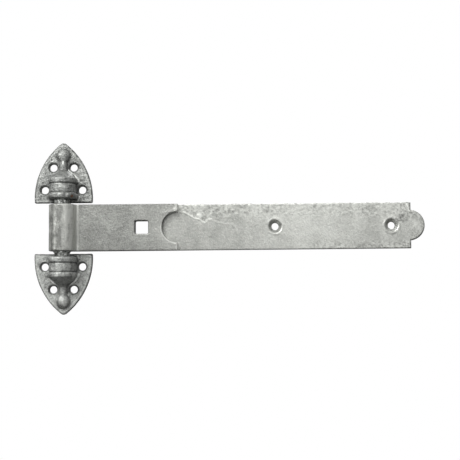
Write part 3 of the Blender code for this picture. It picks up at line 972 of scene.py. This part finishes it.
def cast_grain(points, seed):
    """Height of the sandy skin: lumps of 2 and 4.5 mm, none on the back or in the socket."""
    on_relief = smooth_step(PLATE + 0.5 * MM, PLATE + 3 * MM, points[:, 1])
    grain = 0.12 * MM * rough(points, 1.9 * MM, 2, seed)
    grain += (0.10 + 0.16 * on_relief) * MM * rough(points, 4.5 * MM, 2, seed + 9)
    on_front = smooth_step(0.3 * MM, 1.2 * MM, points[:, 1])
    from_socket = np.hypot(points[:, 0], points[:, 1] - STAND) - SOCKET_RADIUS
    out_of_socket = smooth_step(0.3 * MM, 1.0 * MM, from_socket)
    return (grain - 0.10 * MM) * on_front * out_of_socket


# %% Cast the cups
CUP_CELL = 0.37 * MM
CUP_LOW = np.array([-26 * MM, -0.6 * MM, -0.6 * MM])
CUP_HIGH = np.array([26 * MM, 25.2 * MM, 53.7 * MM])
# The stretches of each casting's flash line, as (side, from height, to height).
FLASH_RUNS = {
    "upper_cup": ((1, 17.0 * MM, 29.5 * MM), (1, 1.0 * MM, 6.5 * MM)),
    "lower_cup": ((-1, 1.0 * MM, 4.5 * MM), (-1, 16.5 * MM, 26 * MM), (1, 20.5 * MM, 26.5 * MM)),
}


def cast_cup(way, seed, runs):
    """One casting with its rough skin, set above or below the knuckle.

    The field's surface is moved out along its slope by the grain, but not on the back, which is
    ground flat, nor in the socket. The lower cup is the same casting turned half a turn about
    the line that points out of the post.
    """
    field = functools.partial(cup_field, runs=runs)
    points, quads = field_surface(field, CUP_LOW, CUP_HIGH, CUP_CELL)
    out = field_normals(field, points, 0.05 * MM)
    # Painted shade in hollows and painted highlights on edges, read from the field.
    painted_shade, wear_and_highlight = painted_shade_and_edge_highlight(field, points, out)
    flash = flash_and_crumbs(points, way, seed, runs)
    painted_shade = cast_painted_shade(points, painted_shade, flash)
    wear_and_highlight = cast_wear_and_highlight(points, out, wear_and_highlight, flash, seed)
    from_rust = np.linalg.norm(points - np.array(RUST_SPOT), axis=1)
    from_rust = from_rust + 0.5 * MM * noise(points, 1.2 * MM, 7)
    rust = (1 - smooth_step(0.7 * MM, 1.9 * MM, from_rust)) * (way > 0)
    points = points + out * cast_grain(points, seed)[:, None]
    points[:, 1] = np.maximum(points[:, 1], 0.0)
    placed = np.stack(
        [way * points[:, 0], -points[:, 1], way * (CUP_BASE + points[:, 2])], axis=1
    )
    return placed, quads[:, ::-1], painted_shade, wear_and_highlight, rust


cups = {}
for part, way, seed in (("upper_cup", 1, 300), ("lower_cup", -1, 400)):
    cups[part] = cast_cup(way, seed, FLASH_RUNS[part])
    placed = cups[part][0]
    print(part, "low", placed.min(axis=0) / MM, "high", placed.max(axis=0) / MM)

# %% [markdown]
# ## Pin and weld beads
# The pin is turned: a profile of radius and height, carried round the axis. The weld is laid
# round it by hand in short overlapping blobs, so its ring is thick and thin by turns, and each
# blob leans a little over the one before it.

# %% A ring round the axis
def ring_surface(radius, height, turns):
    """Points and quads of a closed loop of (radius, height) carried round the pin's axis.

    radius and height are arrays (around, along the loop), so both may change with the angle.
    """
    around, along = radius.shape
    x = radius * np.cos(turns)[:, None]
    y = AXIS_Y + radius * np.sin(turns)[:, None]
    points = np.stack([x, y, height], axis=-1).reshape(-1, 3)
    number = np.arange(around * along).reshape(around, along)
    following = np.roll(number, -1, axis=0)
    a, b = number, np.roll(number, -1, axis=1)
    c, d = np.roll(following, -1, axis=1), following
    return points, np.stack([a, d, c, b], axis=-1).reshape(-1, 4)


def round_axis(radius, angle, height):
    """Points (n, 3) at radii, angles and heights about a line through the origin, for noise."""
    places = [radius * np.cos(angle), radius * np.sin(angle), height]
    return np.stack(places, axis=-1).reshape(-1, 3)


# %% The weld bead
WELD_FOOT = HALF_WIDTH + 0.1 * MM
WELD_TOP = HALF_WIDTH + 4.3 * MM
WELD_INNER = PIN_RADIUS - 0.4 * MM
WELD_REACH, WELD_DRAWN_IN = 2.15 * MM, 1.05 * MM
WELD_LUMPS = 0.34 * MM
BLOB_SWELL, BLOB_RISE = 0.75 * MM, 0.5 * MM


def lay_weld(way, seed):
    """A lumpy ring of weld: six blobs round the pin, each a swell of the ring's section.

    The section is a rounded triangle: broad where it meets the knuckle and drawn in to the pin
    above. Blobs swell its outer side by a rectified sine wave, and noise roughens it.
    """
    turns = np.linspace(0, 2 * math.pi, 160, endpoint=False)
    along = np.linspace(0, 2 * math.pi, 44, endpoint=False)
    angle, loop = np.meshgrid(turns, along, indexing="ij")
    across = 0.5 - 0.5 * np.cos(loop)
    rise = 0.5 + 0.5 * np.sin(loop - 0.55 * np.sin(loop))
    wander = 0.5 * np.sin(2 * angle + seed) + 0.3 * np.sin(5 * angle + 2 * seed)
    blobs = 0.3 + 0.7 * np.abs(np.sin(3.0 * angle + wander + 1.2 * rise)) ** 0.8
    reach = WELD_REACH - WELD_DRAWN_IN * smooth_step(0.12, 0.36, rise)
    radius = WELD_INNER + across * (reach - BLOB_SWELL + BLOB_SWELL * blobs)
    height = WELD_FOOT + (WELD_TOP - WELD_FOOT - BLOB_RISE + BLOB_RISE * blobs) * rise
    lumps = rough(round_axis(radius, angle, height), 2.6 * MM, 3, seed).reshape(radius.shape)
    radius = radius + WELD_LUMPS * lumps * across
    points, quads = ring_surface(radius, way * height, turns)
    # Painted shade in the dips between the blobs and the lumps.
    crevice_shade = 1.3 * np.clip(0.85 - blobs, 0, 1) + 0.9 * np.clip(-lumps, 0, 1)
    return points, quads if way < 0 else quads[:, ::-1], crevice_shade.ravel()


# %% The pin
PIN_ROUND = 1.0 * MM
PIN_SKIN = 0.03 * MM


def turn_pin():
    """The pin: one profile of radius and height carried round, and a point at each end's middle.

    The profile starts near the middle of the lower end, goes out over a small round shoulder,
    up the side, and back in over the upper end. A fan of triangles closes each end.
    """
    turns = np.linspace(0, 2 * math.pi, 120, endpoint=False)
    end, side = pin_high[2], pin_high[2] - PIN_ROUND
    bend = np.linspace(0, math.pi / 2, 7)
    face = np.linspace(PIN_RADIUS - PIN_ROUND, 0.0, 10)[1:-1]
    top_radius = np.concatenate([PIN_RADIUS - PIN_ROUND + PIN_ROUND * np.cos(bend), face])
    top_height = np.concatenate([side + PIN_ROUND * np.sin(bend), np.full(len(face), end)])
    body = np.linspace(-side, side, 90)[1:-1]
    radius = np.concatenate([top_radius[::-1], np.full(len(body), PIN_RADIUS), top_radius])
    height = np.concatenate([-top_height[::-1], body, top_height])
    radius, height = (np.broadcast_to(v, (len(turns), len(v))) for v in (radius, height))
    spots = round_axis(radius, turns[:, None], height)
    marks = PIN_SKIN * rough(spots, 5 * MM, 3, seed=90).reshape(radius.shape)
    points, quads = ring_surface(radius - PIN_SKIN + marks, height.copy(), turns)
    rows = radius.shape[1]
    quads = quads.reshape(len(turns), rows, 4)[:, :-1].reshape(-1, 4)
    first = np.arange(len(turns)) * rows
    following = np.roll(first, -1)
    low_pole, high_pole = len(points), len(points) + 1
    points = np.concatenate([points, [[0, AXIS_Y, -end], [0, AXIS_Y, end]]])
    ends = np.concatenate(
        [
            np.stack([following, first, np.full_like(first, low_pole)], axis=1),
            np.stack([first, following, np.full_like(first, high_pole)], axis=1)
            + np.array([rows - 1, rows - 1, 0]),
        ]
    )
    return points, quads, ends


# %% [markdown]
# ## Materials
# Hot-dip zinc is a grey metal with a dull, slightly cloudy skin. The strap, drawn from clean
# rolled bar, is the palest; the castings, whose rough skin holds ash and oxide, are darker.
# Every finish is the same recipe with other numbers: two greys mixed by clouds of noise and fine
# specks, painted shade and wear with painted highlights read from attributes, and a bump of fine
# grain. A painted picture of zinc would keep one lamp's light for ever; so do the painted shade
# and highlights here, while the rest of the recipe answers any light.

# %% Node helpers
def add_node(tree, kind, settings=None, **inputs):
    """A shader node with its settings, and its inputs set to values or linked to sockets."""
    node = tree.nodes.new(kind)
    for name, value in (settings or {}).items():
        setattr(node, name, value)
    for name, value in inputs.items():
        name = name.replace("_", " ")
        socket = node.inputs[int(name)] if name.isdigit() else node.inputs[name]
        if isinstance(value, bpy.types.NodeSocket):
            tree.links.new(value, socket)
        else:
            socket.default_value = value
    return node


def mix_colours(tree, share, first, second, blend="MIX"):
    """The colour socket of a mix of two colours."""
    node = tree.nodes.new("ShaderNodeMix")
    node.data_type, node.blend_type = "RGBA", blend
    for number, value in ((0, share), (6, first), (7, second)):
        socket = node.inputs[number]
        if isinstance(value, bpy.types.NodeSocket):
            tree.links.new(value, socket)
        else:
            socket.default_value = value
    return node.outputs[2]


def stretched(tree, value, low, high, to_low=0.0, to_high=1.0):
    """A value's range low..high laid onto to_low..to_high, and held there outside it."""
    return add_node(
        tree, "ShaderNodeMapRange", Value=value, From_Min=low, From_Max=high,
        To_Min=to_low, To_Max=to_high,
    ).outputs["Result"]


def noise_fac(tree, place, size, detail=4.0, roughness=0.6):
    """The value of a noise texture whose lumps have the given size in metres."""
    return add_node(
        tree, "ShaderNodeTexNoise", Vector=place, Scale=1 / size, Detail=detail,
        Roughness=roughness,
    ).outputs["Fac"]


def sum_of(tree, *terms):
    """The sum of (value, weight) pairs."""
    total = 0.0
    for value, weight in terms:
        node = add_node(tree, "ShaderNodeMath", {"operation": "MULTIPLY_ADD"})
        tree.links.new(value, node.inputs[0])
        node.inputs[1].default_value = weight
        if isinstance(total, float):
            node.inputs[2].default_value = total
        else:
            tree.links.new(total, node.inputs[2])
        total = node.outputs[0]
    return total


# %% The recipe of the zinc finish
RUST_COLOUR = (0.16, 0.075, 0.035, 1.0)
SPECK_SHARE = 1.35
# Shares of the dark grey for painted shade, and of the pale grey for wear and painted highlights.
PAINTED_SHADE_LEVEL, WEAR_AND_HIGHLIGHT_LEVEL = 0.2, 1.25
CHALK_METALLIC = 0.2


def zinc_material(
    name, dark, pale, tint, roughness, cloud, speck, mottle, bump_height, metallic, grain,
    chalky=False, rusty=False,
):
    """A galvanised finish between a dark and a pale grey.

    The share of the pale grey is the piece's tone, which on the strap holds painted light
    too, plus slow clouds and fine specks, both times mottle. Attributes measured on the shape
    darken hollows and edges with painted shade, and brighten runs, edges and crests with pale
    zinc and painted highlights. cloud, speck and grain are the sizes of the noises, and
    bump_height is the grain's depth. On a chalky finish the raised runs are also less metallic,
    as thick zinc with ash in it is.
    """
    material = bpy.data.materials.new(name)
    material.use_nodes = True
    tree = material.node_tree
    shader = tree.nodes["Principled BSDF"]
    place = add_node(tree, "ShaderNodeTexCoord").outputs["Object"]
    # The tone, which on the strap holds painted light, the painted shade, and the wear with
    # painted highlights.
    tone, painted_shade, wear_and_highlight = (
        add_node(tree, "ShaderNodeAttribute", {"attribute_name": key}).outputs["Fac"]
        for key in ("tone", "painted_shade", "wear_and_highlight")
    )
    clouds = stretched(tree, noise_fac(tree, place, cloud), 0.3, 0.7, -0.5, 0.5)
    specks = stretched(tree, noise_fac(tree, place, speck, 3.0, 0.7), 0.3, 0.7, -0.5, 0.5)
    share = sum_of(tree, (tone, 1.0), (clouds, mottle), (specks, SPECK_SHARE * mottle))
    dark_grey, pale_grey, painted_shade_grey, wear_and_highlight_grey = (
        tuple(level * part for part in tint) + (1.0,)
        for level in (dark, pale, dark * PAINTED_SHADE_LEVEL, pale * WEAR_AND_HIGHLIGHT_LEVEL)
    )
    share = stretched(tree, share, 0.0, 1.0)
    colour = mix_colours(tree, share, dark_grey, pale_grey)
    # Wear and painted highlights lighten the colour; painted shade then darkens it.
    colour = mix_colours(tree, wear_and_highlight, colour, wear_and_highlight_grey)
    colour = mix_colours(tree, painted_shade, colour, painted_shade_grey)
    if rusty:
        rust = add_node(tree, "ShaderNodeAttribute", {"attribute_name": "rust"}).outputs["Fac"]
        colour = mix_colours(tree, rust, colour, RUST_COLOUR)
    tree.links.new(colour, shader.inputs["Base Color"])
    gloss = stretched(tree, specks, -0.5, 0.5, roughness + 0.1, roughness - 0.1)
    tree.links.new(gloss, shader.inputs["Roughness"])
    if chalky:
        chalk = stretched(tree, wear_and_highlight, 0.0, 1.0, metallic, CHALK_METALLIC)
        tree.links.new(chalk, shader.inputs["Metallic"])
    else:
        shader.inputs["Metallic"].default_value = metallic
    fine = noise_fac(tree, place, grain, 4.0, 0.65)
    raised = add_node(tree, "ShaderNodeBump", Height=fine, Distance=bump_height, Strength=1.0)
    tree.links.new(raised.outputs["Normal"], shader.inputs["Normal"])
    return material


# %% The four finishes
ZINC = (0.985, 1.0, 0.94)
DULL_ZINC = (0.975, 1.0, 0.955)
bar_zinc = zinc_material(
    "bar_zinc", dark=0.23, pale=0.68, tint=ZINC, roughness=0.42, cloud=14 * MM, speck=1.4 * MM,
    mottle=0.28, bump_height=0.26 * MM, metallic=0.75, grain=1.4 * MM, chalky=True,
)
cast_zinc = zinc_material(
    "cast_zinc", dark=0.16, pale=0.64, tint=DULL_ZINC, roughness=0.45, cloud=7 * MM,
    speck=1.4 * MM, mottle=0.35, bump_height=0.60 * MM, metallic=0.72, grain=1.5 * MM,
    chalky=True, rusty=True,
)
pin_zinc = zinc_material(
    "pin_zinc", dark=0.20, pale=0.50, tint=DULL_ZINC, roughness=0.40, cloud=6 * MM,
    speck=1.6 * MM, mottle=0.30, bump_height=0.12 * MM, metallic=0.75, grain=1.2 * MM,
)
weld_zinc = zinc_material(
    "weld_zinc", dark=0.16, pale=0.75, tint=DULL_ZINC, roughness=0.32, cloud=3 * MM,
    speck=1.2 * MM, mottle=0.40, bump_height=0.20 * MM, metallic=0.8, grain=1.2 * MM,
)
print("finishes", [finish.name for finish in (bar_zinc, cast_zinc, pin_zinc, weld_zinc)])

# %% [markdown]
# ## Pieces on their bodies
# A piece stays at the origin, unturned, with its place in its mesh, as the CAD solids do. It
# rides on its moving body, and the CAD solid that it stands for is hidden. The pin and its two
# weld beads ride on the strap, because the weld makes them one with it.

# %% Make a piece
def give_values(obj, name, values):
    """Stores a number from 0 to 1 at each point, for the finish to read."""
    made = obj.data.attributes.new(name, "FLOAT", "POINT")
    values = np.broadcast_to(np.clip(values, 0, 1), len(obj.data.vertices))
    made.data.foreach_set("value", values.astype(np.float32))


def place_piece(
    name, points, quads, material, body, node, tone, painted_shade=0.0, wear_and_highlight=0.0, triangles=None
):
    """Makes a piece, gives it its three attributes, puts it on its body, and hides the CAD solid.
    """
    piece = make_object(name, points, quads, material, triangles)
    give_values(piece, "tone", tone)
    give_values(piece, "painted_shade", painted_shade)
    give_values(piece, "wear_and_highlight", wear_and_highlight)
    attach(piece, body)
    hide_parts(node)
    return piece


# %% Put the pieces on their bodies
CAST_TONE = {"upper_cup": 0.29, "lower_cup": 0.42}
CAST_MOTTLE = 0.48
place_piece(
    "folded_strap", strap_points, strap_quads, bar_zinc, "strap", "strap",
    strap_tone_and_light, strap_painted_shade, strap_wear_and_highlight,
)
for part, (placed, quads, painted_shade, wear_and_highlight, rust) in cups.items():
    marks = CAST_TONE[part] + CAST_MOTTLE * rough(placed, 2.2 * MM, 3, 210, fade=0.8)
    casting = place_piece(
        f"{part}_casting", placed, quads, cast_zinc, part, part,
        marks, painted_shade, wear_and_highlight,
    )
    give_values(casting, "rust", rust)
pin_points, pin_quads, pin_ends = turn_pin()
place_piece(
    "turned_pin", pin_points, pin_quads, pin_zinc, "strap", "pin", 0.5,
    triangles=pin_ends,
)
for name, way, seed in (("upper_pin_weld", 1, 3), ("lower_pin_weld", -1, 8)):
    weld_points, weld_quads, weld_painted_shade = lay_weld(way, seed)
    spatter = 0.5 + 0.9 * rough(weld_points, 1.6 * MM, 2, seed)
    place_piece(
        f"{name}_bead", weld_points, weld_quads, weld_zinc, "strap", name,
        spatter, weld_painted_shade,
    )

# %% [markdown]
# ## Stage, light and camera
# The hinge hangs in front of a plain white surround, as in a catalogue, over a plain pale floor.
# A large soft light above and to the left gives each lump a bright side and a dark side; the
# surround fills the rest. Metal mirrors what is round it, so a surround as white as the camera
# sees would wash the zinc out: the camera sees white, and the metal a dimmer dome, dark below.

# %% Floor
FLOOR_HALF, FLOOR_HEIGHT = 6.0, -0.6
WHITE = (1, 1, 1, 1)
FLOOR_GREY = (0.06, 0.06, 0.06, 1)
SURROUND_SEEN = 1.0
SURROUND_LIGHT = 0.75
UNDERSIDE_SHARE = 0.12
floor_corners = [
    (across * FLOOR_HALF, along * FLOOR_HALF, FLOOR_HEIGHT)
    for across, along in ((-1, -1), (1, -1), (1, 1), (-1, 1))
]
floor = make_object("pale_floor", np.array(floor_corners), np.array([[0, 1, 2, 3]]))


# %% Surround
def seen_or_lit(tree, seen, lit, output):
    """Shows one shader to the camera and the other to everything that is lit or mirrored."""
    is_seen = add_node(tree, "ShaderNodeLightPath").outputs["Is Camera Ray"]
    mixed = tree.nodes.new("ShaderNodeMixShader")
    tree.links.new(is_seen, mixed.inputs[0])
    tree.links.new(lit, mixed.inputs[1])
    tree.links.new(seen, mixed.inputs[2])
    tree.links.new(mixed.outputs[0], output)


world = bpy.data.worlds.new("studio")
bpy.context.scene.world = world
world.use_nodes = True
studio = world.node_tree
studio.nodes.clear()
shown = add_node(studio, "ShaderNodeBackground", Color=WHITE, Strength=SURROUND_SEEN)
direction = add_node(studio, "ShaderNodeTexCoord").outputs["Generated"]
way_up = add_node(studio, "ShaderNodeSeparateXYZ", Vector=direction).outputs["Z"]
dome = stretched(
    studio, way_up, -0.25, 0.7, UNDERSIDE_SHARE * SURROUND_LIGHT, SURROUND_LIGHT
)
lighting = add_node(studio, "ShaderNodeBackground", Color=WHITE, Strength=dome)
world_output = studio.nodes.new("ShaderNodeOutputWorld")
seen_or_lit(studio, shown.outputs[0], lighting.outputs[0], world_output.inputs["Surface"])

floor_finish = bpy.data.materials.new("pale_floor")
floor_finish.use_nodes = True
floor_tree = floor_finish.node_tree
floor_tree.nodes.clear()
floor_shown = add_node(floor_tree, "ShaderNodeEmission", Color=WHITE, Strength=SURROUND_SEEN)
floor_lit = add_node(floor_tree, "ShaderNodeBsdfDiffuse", Color=FLOOR_GREY)
floor_output = floor_tree.nodes.new("ShaderNodeOutputMaterial")
floor_surface = floor_output.inputs["Surface"]
seen_or_lit(floor_tree, floor_shown.outputs[0], floor_lit.outputs[0], floor_surface)
floor.data.materials.append(floor_finish)


# %% Lights
def aim(obj, place, target, roll=0.0):
    """Puts an object somewhere and turns its -Z axis to a target, then rolls it."""
    obj.location = place
    towards = Vector(target) - Vector(place)
    turn = towards.to_track_quat("-Z", "Y") @ Quaternion((0, 0, 1), roll)
    obj.rotation_mode = "QUATERNION"
    obj.rotation_quaternion = turn


def soft_light(name, place, target, size, power):
    """A square area light that faces a target, with its size in metres and power in watts."""
    lamp = bpy.data.lights.new(name, "AREA")
    lamp.size, lamp.energy = size, power
    obj = bpy.data.objects.new(name, lamp)
    bpy.context.scene.collection.objects.link(obj)
    aim(obj, place, target)


middle = (np.array(cad_box[0]) + np.array(cad_box[1])) / 2
soft_light("key", (-0.40, -0.85, 0.80), middle, 0.60, 12.0)
soft_light("side", (-0.85, -0.50, 0.40), (0, 0, 0), 0.35, 2.0)
soft_light("fill", (0.45, -1.50, 0.30), middle, 1.0, 3.0)
soft_light("low_fill", (-0.10, -0.55, -0.55), (0, 0, -0.04), 0.5, 2.3)
soft_light("back_fill", (0.30, 1.15, 1.00), middle, 1.0, 15.0)

# %% Camera
DISTANCE = 0.905
PITCH = math.radians(-4.0)
ROLL = math.radians(-0.56)
camera_data = bpy.data.cameras.new("camera")
camera_data.lens = 82.34
camera_data.sensor_width = 36.0
camera = bpy.data.objects.new("camera", camera_data)
bpy.context.scene.collection.objects.link(camera)
look_at = np.array([0.14355, -0.006, -0.0029])
stand_at = look_at + DISTANCE * np.array([0.0, -math.cos(PITCH), math.sin(PITCH)])
aim(camera, stand_at, look_at, ROLL)
bpy.context.scene.camera = camera
bpy.context.scene.view_settings.view_transform = "Standard"
